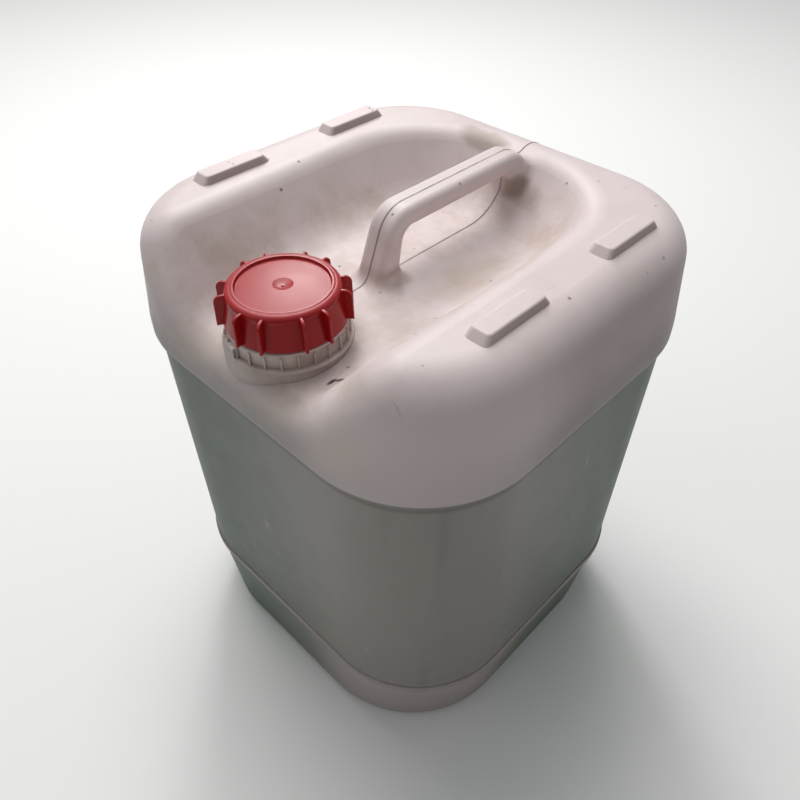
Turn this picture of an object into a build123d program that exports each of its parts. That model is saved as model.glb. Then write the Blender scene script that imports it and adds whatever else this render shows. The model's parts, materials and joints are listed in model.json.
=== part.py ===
"""Square stackable closed-head chemical drum: hollow moulded body, finned screw cap and sealing liner.

Millimetres, +Z up. The origin is the centre of the foot. The neck points up near the -Y face and the
carrying handle runs along Y behind it.
"""
from build123d import *
import math
import os

# Overall form
HALF_X = 148.0              # shoulder band, across the handle
HALF_Y = 144.0              # shoulder band, along the handle
BAND_CORNER = 80.5          # plan radius of the shoulder band's corners
WALL = 2.2                  # moulded wall thickness
STACK_Z = 364.0             # top of the stacking lugs and of the handle
SHOULDER_Z = 359.0          # top of the shoulders
LEAN_Z = 292.0              # the band leans in above this height
LEAN = 7.0                  # how far it has leaned in at the top
BAND_Z = 277.0              # lower edge of the shoulder band
CREASE_Z = 68.0             # crease between the wall and the tapered base
SHOULDER_FILLET = 24.0
LEAN_FILLET = 90.0
BAND_FILLET = 8.0

# Side wall and base, as (half x, half y, corner radius)
WALL_TOP = (144.5, 140.5, 77.0)
WALL_FOOT = (144.0, 137.5, 77.5)
CREASE_BEAD = (145.5, 139.0, 79.0)
BASE_FOOT = (136.5, 135.0, 87.0)
BEAD_HALF_HEIGHT = 3.0
BEAD_FILLET = 1.4
FOOT_FILLET = 9.0
RECESS = (104.0, 100.0, 56.0)
RECESS_DEPTH = 7.0
RECESS_TAPER = 12
RECESS_FILLET = 4

# Valley that holds the handle and the neck, open to the front
FLOOR_Z = 320.0
FLOOR_HALF_X = 56.0
FLOOR_BACK_Y = 74.0
FLOOR_BACK_RADIUS = 22.0
VALLEY_FLARE = 41.0         # degrees from the vertical
FRONT_SLOPE_Y = -50.0       # the floor falls away from here towards the front
FRONT_FLOOR_Z = 309.0       # floor level at the front face
VALLEY_ROOT_FILLET = 34.0
VALLEY_RIM_FILLET = 19.0
TROUGH_DEPTH = 25.0         # how far the flared trough runs on below the floor
TROUGH_RISE = 10.0          # and above the lugs

# Handle, outlined in its own mid plane as (y, z)
HANDLE_HALF_WIDTH = 10.8
HANDLE_BAR = 13.0           # thickness of the bar, top to underside
HANDLE_EDGE = 5.0
HANDLE_FRONT_Y = -23.5      # where the front post's slope would meet the top
HANDLE_FRONT_FOOT_Y = -45.0
HANDLE_REAR_Y = 105.0
HANDLE_ROOT_Z = 310.0
POST_BACK_TOP_Y = -16.0
POST_BACK_FOOT_Y = -23.0
GAP_REAR_Y = 88.0
HANDLE_FRONT_BEND = 20.0    # radius where the front post turns into the bar
HANDLE_REAR_BEND = 20.0
HANDLE_INNER_BEND = 8.0
HANDLE_FOOT_FILLET = 9.0

# Neck
NECK_Y = -102.0
BOSS_RADIUS = 37.8
BOSS_Z = 318.5
BOSS_FILLET = 1.5
COLLAR_FILLET = 1.0
LIP_FILLET = 0.8
RATCHET_RADIUS = 34.6
RATCHET_TOOTH = 1.4
RATCHET_TEETH = 24
RATCHET_TOOTH_WIDTH = 1.0
RATCHET_Z = 328.0
TAB_WIDTH = 14.0            # stop tab at the front of the boss, on the mould's parting line
TAB_DEPTH = 3.5
TAB_ANGLE = -13.0           # from the parting line
TAB_Z = 324.5
NECK_RADIUS = 28.0
NECK_BORE = 24.5
NECK_Z = 345.0
NECK_ROOT = 14             # how far the boss and the bore run on down into the shoulder

# Screw thread, shared by the neck and the cap
PITCH = 5.0
NECK_THREAD_TURNS = 2.0
CAP_THREAD_TURNS = 1.75
THREAD_DEPTH = 1.7
THREAD_ROOT_WIDTH = 2.2
THREAD_CREST_WIDTH = 1.0
NECK_THREAD_Z = 331.5
CAP_THREAD_Z = NECK_THREAD_Z + PITCH / 2 + 0.4
THREAD_SINK = 0.4           # how far a thread's root is buried in its wall

# Cap
CAP_BORE = 30.0
CAP_SKIRT_RADIUS = 35.2
CAP_SHOULDER_RADIUS = 32.2
CAP_RIM_RADIUS = 28.8
CAP_RECESS_RADIUS = 26.0
CAP_SHOULDER_DROP = 5.0     # the skirt's straight part ends this far below the top
CAP_SHOULDER_BULGE = 1.6
CAP_RIM_DROP = 0.3
CAP_RIM_LAND = 1.0
CAP_RECESS_DRAFT = 0.8
CAP_SKIRT_Z = 330.0
CAP_TOP_Z = 350.6
CAP_DISC_Z = 349.0          # edge of the recessed disc
DOME = 0.8                  # how far the disc rises to its middle
LINER = 1.8
LINER_PLAY = 0.3
CAP_CEILING_Z = NECK_Z + LINER
FIN_RADIUS = 38.6
FIN_WIDTH = 2.0
FIN_DRAFT = 0.4
FIN_PAIRS = 6
FIN_PAIR_ANGLE = 23.0       # between the two fins of a pair
FIRST_PAIR_ANGLE = -71.0
FIN_TOP_Z = 348.8
FIN_CORNER = 4.5
FIN_EDGE = 0.6
DIMPLE_RADIUS = 6.0
DIMPLE_DEPTH = 1.0
GATE_RADIUS = 1.2
GATE_HALF_HEIGHT = 0.5

# Stacking lugs
LUG_X = 113.5
LUG_FRONT_Y = -51.0
LUG_REAR_Y = 54.0
LUG_TOP = (12.0, 45.0, 2.5)    # width, length and corner radius
LUG_BASE = (19.0, 64.0, 5.0)
LUG_ROOT = 12.0
LUG_EDGE = 1.2


def plan(half_x, half_y, corner, z):
    """Rounded-rectangle section at height z."""
    return Plane.XY.offset(z) * RectangleRounded(2 * half_x, 2 * half_y, corner)


def shrunk(section, inset):
    """The same section, moved in by inset all round."""
    half_x, half_y, corner = section
    return half_x - inset, half_y - inset, corner - inset


def tapered(lower, low_z, upper, high_z):
    """Straight-sided loft between two rounded-rectangle sections."""
    return loft([plan(*lower, low_z), plan(*upper, high_z)], ruled=True)


def edges_at(shape, z):
    """Edges of a shape that lie in the horizontal plane at height z."""
    return shape.edges().filter_by(lambda e: abs(e.bounding_box().min.Z - z) < 1e-4
                                   and abs(e.bounding_box().max.Z - z) < 1e-4)


def valley(inset):
    """Space cut from the top: flared sides, a rounded back, and a floor that falls to the front."""
    low_z = FRONT_FLOOR_Z - TROUGH_DEPTH
    high_z = STACK_Z + TROUGH_RISE
    slope = math.tan(math.radians(VALLEY_FLARE))
    narrow = slope * (FLOOR_Z - low_z)
    half_x = FLOOR_HALF_X + inset - narrow
    back_y = FLOOR_BACK_Y + inset - narrow
    front_y = -3 * HALF_Y
    trough = RectangleRounded(2 * half_x, back_y - front_y, max(FLOOR_BACK_RADIUS - narrow / 2, 4))
    sketch = Plane.XY.offset(low_z) * Pos(0, (back_y + front_y) / 2) * trough
    flared = extrude(sketch, amount=high_z - low_z, taper=-VALLEY_FLARE)
    fall = (FLOOR_Z - FRONT_FLOOR_Z) / (FRONT_SLOPE_Y + HALF_Y)
    far_y = 2 * HALF_Y
    floor_z = FLOOR_Z - inset
    above = Polyline(
        (-far_y, floor_z - fall * (FRONT_SLOPE_Y + far_y)),
        (FRONT_SLOPE_Y, floor_z),
        (far_y, floor_z),
        (far_y, high_z),
        (-far_y, high_z),
        close=True,
    )
    space = extrude(Plane.YZ * make_face(above), amount=HALF_X, both=True)
    return flared & space


def edges_fillet(shape, z, radius):
    """Round the edges that lie at height z."""
    return fillet(edges_at(shape, z), radius)


def rounded_valley(inset):
    """The valley with its floor rounded into its sides."""
    space = valley(inset)
    floors = [f for f in space.faces() if abs(f.normal_at().Z) > 0.9 and f.center().Z < SHOULDER_Z]
    floor_edges = ShapeList([e for f in floors for e in f.edges()])
    root = [e for e in floor_edges
            if sum(e.is_same(other) for other in floor_edges) == 1 and e.center().Y > -2 * HALF_Y + 1]
    return fillet(root, VALLEY_ROOT_FILLET + inset)


def drum_form(inset):
    """Closed form of the drum without its handle, neck and lugs, moved in by inset."""
    wall_top = shrunk(WALL_TOP, inset)
    wall_foot = shrunk(WALL_FOOT, inset)
    base = tapered(shrunk(BASE_FOOT, inset), inset, wall_foot, CREASE_Z)
    base = edges_fillet(base, inset, FOOT_FILLET - inset)
    wall = tapered(wall_foot, CREASE_Z, wall_top, BAND_Z + 10)
    band_plan = shrunk((HALF_X, HALF_Y, BAND_CORNER), inset)
    band = extrude(plan(*band_plan, BAND_Z + inset), amount=LEAN_Z - BAND_Z - inset)
    band += tapered(band_plan, LEAN_Z, shrunk(band_plan, LEAN), SHOULDER_Z - inset)
    band = edges_fillet(band, SHOULDER_Z - inset, SHOULDER_FILLET - inset)
    band = edges_fillet(band, LEAN_Z, LEAN_FILLET)
    band = edges_fillet(band, BAND_Z + inset, BAND_FILLET)
    closed = base + wall + band
    space = rounded_valley(inset)
    cut = closed - space
    return fillet(new_edges(closed, space, combined=cut), VALLEY_RIM_FILLET - inset)


def foot_recess(inset):
    """Shallow hollow under the foot that leaves a standing ring."""
    half_x, half_y, corner = shrunk(RECESS, -inset)
    depth = RECESS_DEPTH + inset
    hollow = extrude(plan(half_x, half_y, corner, 0), amount=depth, taper=RECESS_TAPER)
    return edges_fillet(hollow, depth, RECESS_FILLET)


def crease_bead():
    """Thin bead that runs round the drum on top of the tapered base."""
    low_z = CREASE_Z - BEAD_HALF_HEIGHT
    bead = extrude(plan(*CREASE_BEAD, low_z), amount=2 * BEAD_HALF_HEIGHT)
    bead = fillet(edges_at(bead, low_z) + edges_at(bead, CREASE_Z + BEAD_HALF_HEIGHT), BEAD_FILLET)
    inside = extrude(plan(*shrunk(CREASE_BEAD, WALL), low_z - 1), amount=2 * BEAD_HALF_HEIGHT + 2)
    return bead - inside


def handle(inset):
    """Bail that stands in the valley: a sloping front post, a straight bar and a rear post."""
    top = STACK_Z - inset
    under = STACK_Z - HANDLE_BAR + inset
    outline = Polyline(
        (HANDLE_FRONT_FOOT_Y + inset, HANDLE_ROOT_Z),
        (HANDLE_FRONT_Y + inset, top),
        (HANDLE_REAR_Y - inset, top),
        (HANDLE_REAR_Y - inset, HANDLE_ROOT_Z),
        (GAP_REAR_Y + inset, HANDLE_ROOT_Z),
        (GAP_REAR_Y + inset, under),
        (POST_BACK_TOP_Y - inset, under),
        (POST_BACK_FOOT_Y - inset, HANDLE_ROOT_Z),
        close=True,
    )
    face = make_face(outline)
    corners = {
        (HANDLE_FRONT_Y + inset, top): HANDLE_FRONT_BEND - inset,
        (HANDLE_REAR_Y - inset, top): HANDLE_REAR_BEND - inset,
        (GAP_REAR_Y + inset, under): HANDLE_INNER_BEND + inset,
        (POST_BACK_TOP_Y - inset, under): HANDLE_INNER_BEND + inset,
    }
    for (y, z), radius in corners.items():
        corner = face.vertices().sort_by_distance((y, z, 0))[0]
        face = fillet(corner, radius)
    bail = extrude(Plane.YZ * face, amount=HANDLE_HALF_WIDTH - inset, both=True)
    sides = bail.faces().filter_by(Axis.X)
    return fillet(ShapeList([e for f in sides for e in f.edges()]), HANDLE_EDGE - inset)


def lugs():
    """Four tapered stacking lugs on the shoulders."""
    top = Plane.XY.offset(STACK_Z) * RectangleRounded(*LUG_TOP)
    base = Plane.XY.offset(STACK_Z - LUG_ROOT) * RectangleRounded(*LUG_BASE)
    lug = edges_fillet(loft([base, top], ruled=True), STACK_Z, LUG_EDGE)
    return [Pos(x, y) * lug for x in (-LUG_X, LUG_X) for y in (LUG_FRONT_Y, LUG_REAR_Y)]


def column(radius, low_z, high_z):
    """Cylinder on the neck axis between two heights."""
    return Pos(0, NECK_Y, low_z) * Cylinder(radius, high_z - low_z,
                                            align=(Align.CENTER, Align.CENTER, Align.MIN))


def thread(wall_radius, outward, low_z, turns):
    """Helical ridge on a cylindrical wall, rooted in it and standing out by the thread depth."""
    sign = 1 if outward else -1
    root = wall_radius - sign * THREAD_SINK
    crest = wall_radius + sign * THREAD_DEPTH
    path = Helix(pitch=PITCH, height=PITCH * turns, radius=wall_radius, center=(0, 0, low_z))
    section = Polyline(
        (root, low_z - THREAD_ROOT_WIDTH / 2),
        (crest, low_z - THREAD_CREST_WIDTH / 2),
        (crest, low_z + THREAD_CREST_WIDTH / 2),
        (root, low_z + THREAD_ROOT_WIDTH / 2),
        close=True,
    )
    ridge = sweep(Plane.XZ * make_face(section), path=path, is_frenet=True)
    return Pos(0, NECK_Y) * ridge


def neck():
    """Boss, ratchet collar and threaded tube, still solid."""
    boss = column(BOSS_RADIUS, HANDLE_ROOT_Z - NECK_ROOT, BOSS_Z)
    boss = edges_fillet(boss, BOSS_Z, BOSS_FILLET)
    collar = column(RATCHET_RADIUS, BOSS_Z - 1, RATCHET_Z)
    collar = edges_fillet(collar, RATCHET_Z, COLLAR_FILLET)
    tooth = Pos(RATCHET_RADIUS, 0, BOSS_Z - 1) * Box(
        2 * RATCHET_TOOTH, RATCHET_TOOTH_WIDTH, RATCHET_Z - BOSS_Z - 0.5, align=(Align.CENTER, Align.CENTER, Align.MIN))
    teeth = [Pos(0, NECK_Y) * Rot(0, 0, i * 360 / RATCHET_TEETH) * tooth for i in range(RATCHET_TEETH)]
    tube = column(NECK_RADIUS, RATCHET_Z - 1, NECK_Z)
    tube = edges_fillet(tube, NECK_Z, LIP_FILLET)
    tab_out = 1 + TAB_DEPTH / 2 - BOSS_RADIUS
    tab = Pos(0, tab_out, BOSS_Z - 1) * Box(TAB_WIDTH, TAB_DEPTH, TAB_Z - BOSS_Z + 1,
                                            align=(Align.CENTER, Align.CENTER, Align.MIN))
    tab = Pos(0, NECK_Y) * Rot(0, 0, TAB_ANGLE) * tab
    return [boss, collar, *teeth, tab, tube, thread(NECK_RADIUS, True, NECK_THREAD_Z, NECK_THREAD_TURNS)]


def handled_form():
    """The drum's form with the handle in its valley, blended in at both feet."""
    form = drum_form(0)
    bail = handle(0)
    joined = form + bail
    return fillet(new_edges(form, bail, combined=joined), HANDLE_FOOT_FILLET)


def drum_body():
    """Hollow body with its handle, lugs, neck and foot recess in one moulding."""
    outer = handled_form() + crease_bead() + lugs() + neck()
    cavity = drum_form(WALL) - foot_recess(WALL) + handle(WALL)
    bore = column(NECK_BORE, FRONT_FLOOR_Z - NECK_ROOT, NECK_Z + 1)
    return outer - foot_recess(0) - cavity - bore


def screw_cap():
    """Finned cap: a turned shell with an inside thread and fins that stop flush with its skirt."""
    skirt = Polyline(
        (0, CAP_CEILING_Z),
        (CAP_BORE, CAP_CEILING_Z),
        (CAP_BORE, CAP_SKIRT_Z),
        (CAP_SKIRT_RADIUS, CAP_SKIRT_Z),
        (CAP_SHOULDER_RADIUS, CAP_TOP_Z - CAP_SHOULDER_DROP),
    )
    rim = (CAP_RIM_RADIUS, CAP_TOP_Z - CAP_RIM_DROP)
    shoulder = SagittaArc((CAP_SHOULDER_RADIUS, CAP_TOP_Z - CAP_SHOULDER_DROP), rim, -CAP_SHOULDER_BULGE)
    top = Polyline(
        rim,
        (CAP_RIM_RADIUS - CAP_RIM_LAND, CAP_TOP_Z),
        (CAP_RECESS_RADIUS + CAP_RECESS_DRAFT, CAP_TOP_Z),
        (CAP_RECESS_RADIUS, CAP_DISC_Z),
    )
    disc = ThreePointArc((CAP_RECESS_RADIUS, CAP_DISC_Z), (CAP_RECESS_RADIUS / 2, CAP_DISC_Z + 0.75 * DOME),
                         (0, CAP_DISC_Z + DOME))
    core = Line((0, CAP_DISC_Z + DOME), (0, CAP_CEILING_Z))
    outline = skirt + shoulder + top + disc + core
    shell = Pos(0, NECK_Y) * revolve(Plane.XZ * make_face(outline), Axis.Z)
    blade = Polyline(
        (CAP_RIM_RADIUS + 1, CAP_SKIRT_Z),
        (FIN_RADIUS, CAP_SKIRT_Z),
        (FIN_RADIUS - FIN_DRAFT, FIN_TOP_Z),
        (CAP_RIM_RADIUS + 1, FIN_TOP_Z),
        close=True,
    )
    fin_face = fillet(make_face(blade).vertices().sort_by_distance((FIN_RADIUS, FIN_TOP_Z, 0))[0], FIN_CORNER)
    fin = extrude(Plane.XZ * fin_face, amount=FIN_WIDTH / 2, both=True)
    fin = fillet([e for f in fin.faces().filter_by(Axis.Y) for e in f.edges()], FIN_EDGE)
    angles = [FIRST_PAIR_ANGLE + 360 / FIN_PAIRS * i + side * FIN_PAIR_ANGLE / 2
              for i in range(FIN_PAIRS) for side in (-1, 1)]
    fins = [Pos(0, NECK_Y) * Rot(0, 0, angle) * fin for angle in angles]
    hollow = column(CAP_BORE, CAP_SKIRT_Z - 1, CAP_CEILING_Z)
    dimple_z = CAP_DISC_Z + DOME - DIMPLE_DEPTH
    ball = (DIMPLE_RADIUS ** 2 + DIMPLE_DEPTH ** 2) / (2 * DIMPLE_DEPTH)
    dimple = Pos(0, NECK_Y, dimple_z + ball) * Sphere(ball)
    gate = column(GATE_RADIUS, dimple_z - GATE_HALF_HEIGHT, dimple_z + GATE_HALF_HEIGHT)
    ridge = thread(CAP_BORE, False, CAP_THREAD_Z, CAP_THREAD_TURNS)
    return shell + fins - hollow - dimple + gate + ridge


def cap_liner():
    """Foam sealing disc between the neck's lip and the inside of the cap."""
    return column(CAP_BORE - LINER_PLAY, NECK_Z, CAP_CEILING_Z)


os.makedirs("parts", exist_ok=True)
nodes = {"drum_body": drum_body(), "screw_cap": screw_cap(), "cap_liner": cap_liner()}
for name, shape in nodes.items():
    export_step(shape, f"parts/{name}.step")
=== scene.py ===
"""Square stackable chemical drum with a red finned screw cap: its looks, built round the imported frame."""
import json
import math
import bpy
from mathutils import Matrix, Vector

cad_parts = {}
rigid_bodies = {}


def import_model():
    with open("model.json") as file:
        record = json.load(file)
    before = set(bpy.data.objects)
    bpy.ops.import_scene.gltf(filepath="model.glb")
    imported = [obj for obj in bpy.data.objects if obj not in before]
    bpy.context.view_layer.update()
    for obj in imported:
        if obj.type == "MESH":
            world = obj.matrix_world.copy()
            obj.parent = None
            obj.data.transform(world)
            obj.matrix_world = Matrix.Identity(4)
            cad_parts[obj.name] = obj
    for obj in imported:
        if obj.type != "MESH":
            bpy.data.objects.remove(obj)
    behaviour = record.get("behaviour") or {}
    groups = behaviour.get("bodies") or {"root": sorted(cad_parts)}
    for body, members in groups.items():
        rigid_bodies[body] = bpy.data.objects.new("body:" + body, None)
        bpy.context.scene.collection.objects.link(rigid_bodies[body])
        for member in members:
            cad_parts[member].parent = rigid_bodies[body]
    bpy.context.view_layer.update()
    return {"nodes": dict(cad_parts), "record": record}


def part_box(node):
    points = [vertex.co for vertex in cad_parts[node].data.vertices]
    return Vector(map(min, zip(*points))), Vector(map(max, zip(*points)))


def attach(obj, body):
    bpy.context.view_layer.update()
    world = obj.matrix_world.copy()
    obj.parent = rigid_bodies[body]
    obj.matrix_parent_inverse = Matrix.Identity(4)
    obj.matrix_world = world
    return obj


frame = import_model()

# Places, in metres, taken from the frame
DRUM_LOW, DRUM_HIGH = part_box("drum_body")
CAP_LOW, CAP_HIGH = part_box("screw_cap")
NECK_AXIS = Vector(((CAP_LOW.x + CAP_HIGH.x) / 2, (CAP_LOW.y + CAP_HIGH.y) / 2, 0))
MM = 0.001
MOUNTS = {m["name"]: Vector(m["pos_m"]) for m in frame["record"]["mounts"]}
HANDLE = MOUNTS["handle_bar"]
LUG = MOUNTS["lug_front_right"]
CREASE = DRUM_LOW.z + 68 * MM           # bead between the wall and the tapered base
BAND_LINE = DRUM_LOW.z + 279 * MM       # where the shoulder band steps in to the wall
BAND_BLEND = 6 * MM                     # half the height over which wall and band colours blend
# the band's foot gets painted shade up to this height above the band line
BAND_SHADE = 45 * MM                    # the band's foot is duller up to this height
VALLEY_RIM = DRUM_LOW.z + 357 * MM
VALLEY_DEPTH = 16 * MM

# Colours of the drum
MILKY = (0.72, 0.61, 0.615)
MILKY_DULL = (0.64, 0.54, 0.53)
# painted shade for the shoulder's sides, less dark round the front corner
SHOULDER_FRONT_PAINTED_LIGHT = (0.58, 0.50, 0.495)
SHOULDER_PAINTED_SHADE = (0.44, 0.38, 0.375)
SHOULDER_PAINTED_SHADE_WARM = (0.30, 0.213, 0.213)
# painted shade for the band's foot
BAND_FOOT_SHADE = (0.195, 0.175, 0.168)
# painted shade under the band's step
UNDER_BAND_SHADE = (0.09, 0.08, 0.07)
# side wall colours: the grey is partly painted shade, the green is a painted reflection
WALL_GREY_AND_SHADE = (0.245, 0.222, 0.205)
WALL_GREEN_REFLECTION = (0.05, 0.082, 0.053)
WALL_STREAK = (0.11, 0.104, 0.092)
# painted highlight for the bead and the base's front corner
BASE_PAINTED_HIGHLIGHT = (0.34, 0.285, 0.288)
DUST = (0.55, 0.455, 0.40)
SPECK = (0.07, 0.045, 0.03)
SCUFF = (0.42, 0.35, 0.33)
STAIN_BROWN = (0.24, 0.165, 0.11)
STAIN_GREY = (0.26, 0.215, 0.18)
STAIN_BEIGE = (0.50, 0.41, 0.33)
# darker tone along the parting line
PARTING_LINE_DARK = (0.22, 0.165, 0.13)

# Stains: place, half size, colour and strength
STAINS = (
    (HANDLE + Vector((9, 58, -12)) * MM, Vector((13, 12, 11)) * MM, STAIN_BROWN, 0.75),
    (HANDLE + Vector((24, 56, -16)) * MM, Vector((16, 12, 9)) * MM, STAIN_GREY, 0.4),
    (HANDLE + Vector((-30, 70, 3)) * MM, Vector((26, 10, 9)) * MM, STAIN_BROWN, 0.6),
    (HANDLE + Vector((11, -20, -1)) * MM, Vector((6, 40, 7)) * MM, STAIN_GREY, 0.3),
    (LUG + Vector((-26, 18, -20)) * MM, Vector((14, 70, 16)) * MM, STAIN_BEIGE, 0.55),
    (NECK_AXIS + Vector((54, -9, 316)) * MM, Vector((4.6, 2.2, 8)) * MM, SPECK, 1.0),
    (NECK_AXIS + Vector((49, -11, 316)) * MM, Vector((2.4, 3.8, 8)) * MM, SPECK, 1.0),
    (NECK_AXIS + Vector((0, -4, 318)) * MM, Vector((44, 44, 9)) * MM, STAIN_GREY, 0.5),
    (NECK_AXIS + Vector((-26, -28, 318)) * MM, Vector((15, 13, 9)) * MM, STAIN_BROWN, 0.4),
    (NECK_AXIS + Vector((28, -34, 312)) * MM, Vector((26, 9, 9)) * MM, STAIN_BROWN, 0.25),
    (HANDLE + Vector((45, -30, -25)) * MM, Vector((26, 40, 12)) * MM, STAIN_BEIGE, 0.45),
)

# Parting line of the mould
PARTING_WIDTH = 0.8 * MM
PARTING_HEIGHT = 0.22 * MM
PARTING_FOOT = DRUM_LOW.z + 20 * MM
NECK_CLEAR = 41 * MM
MERGE = 0.002 * MM
LEVEL = 0.99                            # a face is level if its normal's Z is past this
LEVEL_REACH = 0.1 * MM

# Colours of the cap, its liner, the floor and the surround
CAP_RED = (0.32, 0.003, 0.004)
CAP_DUSTY = (0.43, 0.045, 0.052)
FOAM_SHADE = (0.62, 0.60, 0.56)
FOAM_PALE = (0.78, 0.77, 0.74)
FLOOR_COLOUR = (0.86, 0.86, 0.86, 1.0)
SURROUND_COLOUR = (0.9, 0.95, 0.93, 1.0)
SURROUND_STRENGTH = 0.3

# Studio
FLOOR_SIZE = 12
FLOOR_GAP = 0.2 * MM

# Lamps: name, direction from the top of the drum, distance, size, power and colour
LAMPS = (
    ("key", (-0.5, 0.25, 1.0), 2.8, 2.0, 66, (1.0, 0.98, 0.97)),
    ("front", (-0.4, -1.0, 0.9), 3.0, 2.4, 7, (1.0, 0.99, 0.98)),
    ("glint", (-0.85, 0.62, 0.72), 1.6, 0.3, 6.5, (1.0, 1.0, 1.0)),
)

# Camera
CAMERA_PLACE = (0.2764, -0.2948, 0.5762)
CAMERA_TURN = math.radians(44.20)
CAMERA_TILT = math.radians(43.40)
CAMERA_ROLL = math.radians(0.18)
LENS = 32.85
SENSOR = 36.0
CLIP_START = 0.01


class Tone:
    """A number that varies over a surface. Arithmetic on tones adds the Math nodes."""

    def __init__(self, finish, socket):
        self.finish = finish
        self.socket = socket

    def math(self, operation, *values):
        return self.finish.node("ShaderNodeMath", {"operation": operation}, *values)

    def __add__(self, other):
        return self.math("ADD", self, other)

    def __sub__(self, other):
        return self.math("SUBTRACT", self, other)

    def __rsub__(self, other):
        return self.math("SUBTRACT", other, self)

    def __mul__(self, other):
        return self.math("MULTIPLY", self, other)

    def __truediv__(self, other):
        return self.math("DIVIDE", self, other)

    def __pow__(self, other):
        return self.math("POWER", self, other)

    def __abs__(self):
        return self.math("ABSOLUTE", self)

    __radd__ = __add__
    __rmul__ = __mul__

    def most(self, other):
        return self.math("MAXIMUM", self, other)

    def step(self, low, high):
        """0 below low and 1 above high, eased between them; low may be the larger."""
        settings = {"interpolation_type": "SMOOTHSTEP"}
        if low < high:
            return self.finish.node("ShaderNodeMapRange", settings, self, low, high, 0.0, 1.0)
        return self.finish.node("ShaderNodeMapRange", settings, self, high, low, 1.0, 0.0)


class Finish:
    """A material on one principled shader, with the nodes that vary it."""

    def __init__(self, name, **constants):
        self.material = bpy.data.materials.new(name)
        self.material.use_nodes = True
        self.tree = self.material.node_tree
        self.shader = self.tree.nodes["Principled BSDF"]
        for socket, value in constants.items():
            self.shader.inputs[socket.replace("_", " ")].default_value = value
        self.place = self.node("ShaderNodeTexCoord", {}, out="Object")
        self.x, self.y, self.z = (
            self.node("ShaderNodeSeparateXYZ", {}, self.place, out=axis) for axis in "XYZ")

    def node(self, kind, settings, *values, out=0):
        """Adds a node: its settings first, then a value or a link for each socket in turn."""
        made = self.tree.nodes.new(kind)
        for name, value in settings.items():
            setattr(made, name, value)
        sockets = [s for s in made.inputs if s.enabled]
        for socket, value in zip(sockets, values):
            if isinstance(value, Tone):
                self.tree.links.new(value.socket, socket)
            else:
                socket.default_value = value
        if isinstance(out, str):
            return Tone(self, made.outputs[out])
        return Tone(self, [s for s in made.outputs if s.enabled][out])

    def feed(self, socket, tone):
        self.tree.links.new(tone.socket, self.shader.inputs[socket])

    def stretched(self, scale, slant=0):
        """The place on the object, turned by slant radians about Z and stretched, so a pattern runs one way."""
        return self.node("ShaderNodeMapping", {}, self.place, (0, 0, 0), (0, 0, slant), scale)

    def noise(self, scale, detail=3.0, roughness=0.5, place=None):
        return self.node("ShaderNodeTexNoise", {}, place or self.place, scale, detail, roughness)

    def mix(self, share, first, second):
        """First colour where share is 0, second where it is 1."""
        colours = [value if isinstance(value, Tone) else (*value, 1.0) for value in (first, second)]
        return self.node("ShaderNodeMix", {"data_type": "RGBA", "clamp_factor": True}, share, *colours)

    def relief(self, height, strength, distance):
        """Bumps the surface by a height tone."""
        self.feed("Normal", self.node("ShaderNodeBump", {}, strength, distance, 1.0, height))

    def facing(self, axis):
        """How far the surface faces along an axis, from -1 to 1."""
        normal = self.node("ShaderNodeNewGeometry", {}, out="Normal")
        return self.node("ShaderNodeSeparateXYZ", {}, normal, out=axis)

    def scratches(self, scale, slant):
        """Thin streaks that run along the least stretched axis."""
        return self.noise(1, 2, 0.5, self.stretched(scale, slant)).step(0.7, 0.76)

    def patch(self, centre, size, ragged=0.35, scale=60):
        """1 in the middle of an oval patch and 0 outside it, with a ragged edge."""
        parts = [(axis - at) / half for axis, at, half in zip((self.x, self.y, self.z), centre, size)]
        spread = parts[0] ** 2 + parts[1] ** 2 + parts[2] ** 2
        return (spread + ragged * 4 * (self.noise(scale) - 0.5)).step(1.2, 0.1)


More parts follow.
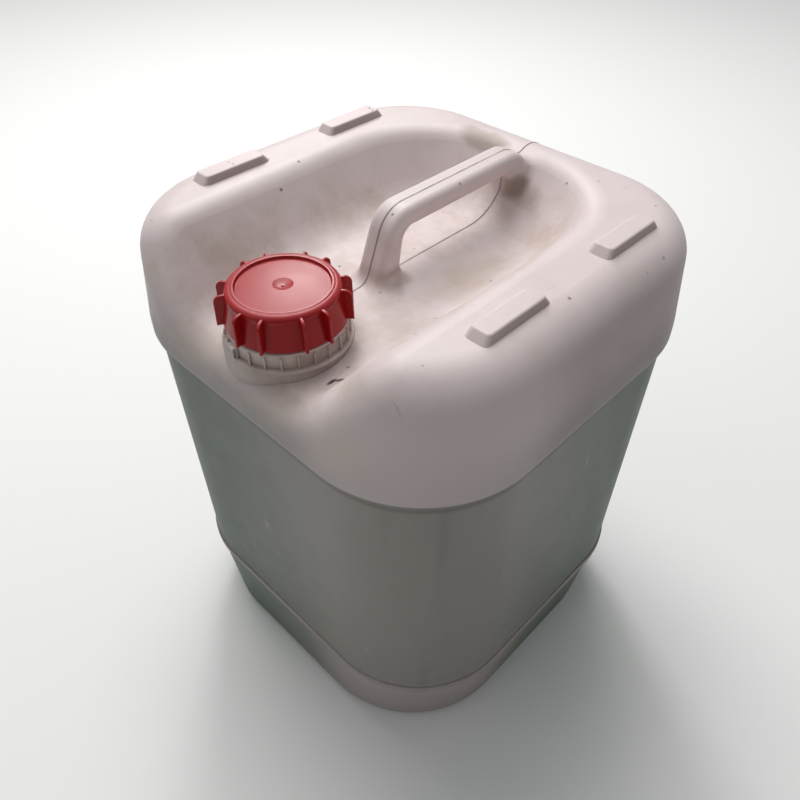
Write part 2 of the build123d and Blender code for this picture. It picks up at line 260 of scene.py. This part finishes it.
def drum_plastic():
    """Natural polyethylene: milky and warm on top, greyer where the thin wall shows the dark inside; the wall
    and the shoulder's sides also carry painted shade, and the wall a painted green reflection.
    """
    f = Finish("natural_polyethylene", Subsurface_Weight=0.2, Subsurface_Scale=0.008,
               Subsurface_Radius=(1.0, 0.9, 0.8), IOR=1.5)
    up = f.facing("Z")
    cloud = f.noise(9, 3, 0.55)
    mottle = f.noise(28, 5, 0.62)
    streaks = f.noise(1, 4, 0.6, f.stretched((30, 30, 4)))

    # thin side wall, its darkness partly the dark inside showing through and partly painted shade: grey round
    # the front right and rear left corners, with a painted green reflection round the other two
    corner = abs(f.x - f.y)
    green = corner.step(245 * MM, 60 * MM) + (f.noise(5, 2, 0.5) - 0.5) * 0.4
    wall = f.mix(green, WALL_GREY_AND_SHADE, WALL_GREEN_REFLECTION)
    wall = f.mix(streaks.step(0.5, 0.8) * 0.5, wall, WALL_STREAK)
    # painted light: the tapered base is paler round the front right and rear left corners, and the bead along
    # the crease gets a painted highlight
    base = f.z.step(CREASE - 2 * MM, CREASE - 6 * MM) * corner.step(150 * MM, 230 * MM)
    wall = f.mix(base, wall, BASE_PAINTED_HIGHLIGHT)
    bead = abs(f.z - CREASE).step(8 * MM, 3 * MM)
    wall = f.mix(bead * 0.6, wall, BASE_PAINTED_HIGHLIGHT)
    # painted shade: a dark line on the wall just under the band's step
    wall = f.mix(abs(f.z - BAND_LINE + 3 * MM).step(5 * MM, 1 * MM) * 0.6, wall, UNDER_BAND_SHADE)

    # thick shoulder with painted shade: darker where it doesn't face up, redder on the side away from the
    # light, less dark round the front right and rear left corners
    side = f.mix(f.facing("X").step(0.0, 0.9) * 0.8 + cloud * 0.2, SHOULDER_PAINTED_SHADE, SHOULDER_PAINTED_SHADE_WARM)
    side = f.mix(corner.step(150 * MM, 235 * MM) * 0.8, side, SHOULDER_FRONT_PAINTED_LIGHT)
    top = f.mix(mottle.step(0.42, 0.72) * 0.5, MILKY, MILKY_DULL)
    # painted light: the handle's top and sides are painted as pale as the level top
    handle = abs(f.x).step(17 * MM, 12 * MM) * f.z.step(HANDLE.z - 28 * MM, HANDLE.z - 18 * MM)
    shoulder = f.mix(up.step(-0.1, 0.75).most(handle), side, top)
    # painted shade on the band's foot, except round the front right and rear left corners
    band_foot_shade = f.z.step(BAND_LINE + BAND_SHADE, BAND_LINE) * corner.step(280 * MM, 160 * MM)
    shoulder = f.mix(band_foot_shade * 0.85, shoulder, BAND_FOOT_SHADE)
    colour = f.mix(f.z.step(BAND_LINE - BAND_BLEND, BAND_LINE + BAND_BLEND), wall, shoulder)

    # dust and old drips in the valley, and stains round the handle
    valley = (f.z.step(VALLEY_RIM, VALLEY_RIM - VALLEY_DEPTH)
              * abs(f.x).step(100 * MM, 84 * MM) * f.z.step(BAND_LINE + 8 * MM, BAND_LINE + 28 * MM))
    colour = f.mix(valley * f.noise(22, 6, 0.7).step(0.4, 0.68) * 0.85, colour, DUST)
    for place, size, stain, strength in STAINS:
        colour = f.mix(f.patch(place, size) * strength, colour, stain)

    # specks and scuffs
    grit = f.node("ShaderNodeTexVoronoi", {}, f.place, 80.0, out="Distance")
    rare = f.noise(17, 2, 0.5).step(0.5, 0.6)
    specks = grit.step(0.11, 0.06) * rare * up.step(0.3, 0.7) * f.z.step(BAND_LINE, BAND_LINE + 25 * MM)
    colour = f.mix(specks * 0.75, colour, SPECK)
    scuffs = f.scratches((420, 22, 30), 0.3).most(f.scratches((40, 380, 30), -0.5))
    scuffs = scuffs * f.noise(11, 3, 0.6).step(0.5, 0.64)
    colour = f.mix(scuffs * 0.55, colour, SCUFF)

    # darker in a broken line along the mould's parting line, over the top of the drum
    seam = abs(f.x).step(0.9 * MM, 0.3 * MM) * f.z.step(BAND_LINE + 20 * MM, BAND_LINE + 30 * MM)
    colour = f.mix(seam * f.noise(30, 3, 0.6).step(0.3, 0.6) * 0.75, colour, PARTING_LINE_DARK)

    # semi-matt, slightly wavy skin
    f.feed("Base Color", colour)
    f.feed("Roughness", 0.4 + f.noise(60, 4, 0.6) * 0.16 + valley * 0.08 - scuffs * 0.1)
    waviness = f.noise(7, 2, 0.4) * 2.2
    skin = f.noise(130, 3, 0.5) * 0.22 + f.noise(1100, 2, 0.5) * 0.05 - scuffs * 0.1
    f.relief(waviness + skin, 0.35, 1.0 * MM)
    return f.material


def cap_plastic():
    """Glossy red polypropylene, dusty on its upward faces."""
    f = Finish("red_polypropylene", IOR=1.49, Specular_IOR_Level=0.3)
    up = f.facing("Z")
    dust = up.step(0.35, 0.98) * (0.55 + f.noise(60, 4, 0.6) * 0.5)
    f.feed("Base Color", f.mix(dust, CAP_RED, CAP_DUSTY))
    f.feed("Roughness", 0.2 + dust * 0.1 + f.noise(90, 3, 0.5) * 0.1)
    f.relief(f.noise(500, 2, 0.5), 0.08, 0.3 * MM)
    return f.material


def liner_foam():
    """Off-white closed-cell foam."""
    f = Finish("closed_cell_foam", Roughness=0.85)
    cells = f.node("ShaderNodeTexVoronoi", {}, f.place, 1600.0, out="Distance")
    f.feed("Base Color", f.mix(cells, FOAM_SHADE, FOAM_PALE))
    f.relief(cells, 0.3, 0.2 * MM)
    return f.material


def floor_finish():
    """Plain pale studio floor."""
    return Finish("studio_floor", Roughness=0.9, Base_Color=FLOOR_COLOUR).material


def dress(node, material):
    """Gives a CAD node its finish."""
    frame["nodes"][node].data.materials.clear()
    frame["nodes"][node].data.materials.append(material)


def level_at(face, height):
    """True for a level face at that height."""
    return abs(face.normal.z) > LEVEL and abs(face.center.z - height) < LEVEL_REACH


def parting_line(plastic):
    """Fine raised flash along the plane where the two halves of the mould met, on the outside of the drum."""
    bpy.ops.object.select_all(action="DESELECT")
    line = frame["nodes"]["drum_body"].copy()
    line.data = line.data.copy()
    line.name = line.data.name = "parting_line"
    bpy.context.scene.collection.objects.link(line)
    bpy.context.view_layer.objects.active = line
    line.select_set(True)

    # keep only a narrow ribbon of the drum's own surface
    bpy.ops.object.mode_set(mode="EDIT")
    bpy.ops.mesh.select_all(action="SELECT")
    bpy.ops.mesh.remove_doubles(threshold=MERGE)
    for side in (1, -1):
        bpy.ops.mesh.select_all(action="SELECT")
        edge = (side * PARTING_WIDTH / 2, 0, 0)
        bpy.ops.mesh.bisect(plane_co=edge, plane_no=(side, 0, 0), clear_outer=True)

    # it starts behind the neck and stops above the foot, which also parts the outside from the inside
    start = (0, NECK_AXIS.y + NECK_CLEAR, 0)
    end = (0, 0, PARTING_FOOT)
    for place, way in ((start, (0, 1, 0)), (end, (0, 0, 1))):
        bpy.ops.mesh.select_all(action="SELECT")
        bpy.ops.mesh.bisect(plane_co=place, plane_no=way, clear_inner=True)
    bpy.ops.mesh.select_mode(type="FACE")
    bpy.ops.mesh.select_all(action="DESELECT")

    # the handle's top leads to the whole outside, and its underside to the loop round the hand hole
    bpy.ops.object.mode_set(mode="OBJECT")
    for face in line.data.polygons:
        face.select = level_at(face, DRUM_HIGH.z) or level_at(face, HANDLE.z)
    bpy.ops.object.mode_set(mode="EDIT")
    bpy.ops.mesh.select_linked()
    bpy.ops.mesh.select_all(action="INVERT")
    bpy.ops.mesh.delete(type="FACE")
    bpy.ops.object.mode_set(mode="OBJECT")

    # raise it
    thick = line.modifiers.new("flash", "SOLIDIFY")
    thick.thickness = PARTING_HEIGHT * 2
    thick.offset = 0
    bpy.ops.object.modifier_apply(modifier=thick.name)
    line.data.materials.clear()
    line.data.materials.append(plastic)
    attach(line, "drum")


def studio():
    """Pale floor, a large soft lamp above, a weak one in front, a small one for glints, a dim surround."""
    bpy.ops.mesh.primitive_plane_add(size=FLOOR_SIZE, location=(0, 0, DRUM_LOW.z - FLOOR_GAP))
    floor = bpy.context.object
    floor.name = "floor"
    floor.data.materials.append(floor_finish())
    aim = Vector((0, 0, DRUM_HIGH.z))
    for name, way, distance, size, power, tint in LAMPS:
        lamp = bpy.data.lights.new(name, "AREA")
        lamp.size = size
        lamp.energy = power
        lamp.color = tint
        placed = bpy.data.objects.new(name, lamp)
        bpy.context.scene.collection.objects.link(placed)
        placed.location = aim + Vector(way).normalized() * distance
        placed.rotation_euler = (aim - placed.location).to_track_quat("-Z", "Y").to_euler()
    world = bpy.data.worlds.new("surround")
    world.use_nodes = True
    background = world.node_tree.nodes["Background"]
    background.inputs["Color"].default_value = SURROUND_COLOUR
    background.inputs["Strength"].default_value = SURROUND_STRENGTH
    bpy.context.scene.world = world


def camera():
    lens = bpy.data.cameras.new("camera")
    lens.lens = LENS
    lens.sensor_width = SENSOR
    lens.clip_start = CLIP_START
    placed = bpy.data.objects.new("camera", lens)
    bpy.context.scene.collection.objects.link(placed)
    turn = Matrix.Rotation(CAMERA_TURN, 4, "Z")
    tilt = Matrix.Rotation(math.pi / 2 - CAMERA_TILT, 4, "X")
    roll = Matrix.Rotation(CAMERA_ROLL, 4, "Z")
    placed.matrix_world = Matrix.Translation(CAMERA_PLACE) @ turn @ tilt @ roll
    bpy.context.scene.camera = placed


bpy.context.scene.view_settings.view_transform = "Standard"
camera()
studio()
milky = drum_plastic()
dress("drum_body", milky)
parting_line(milky)
dress("screw_cap", cap_plastic())
dress("cap_liner", liner_foam())
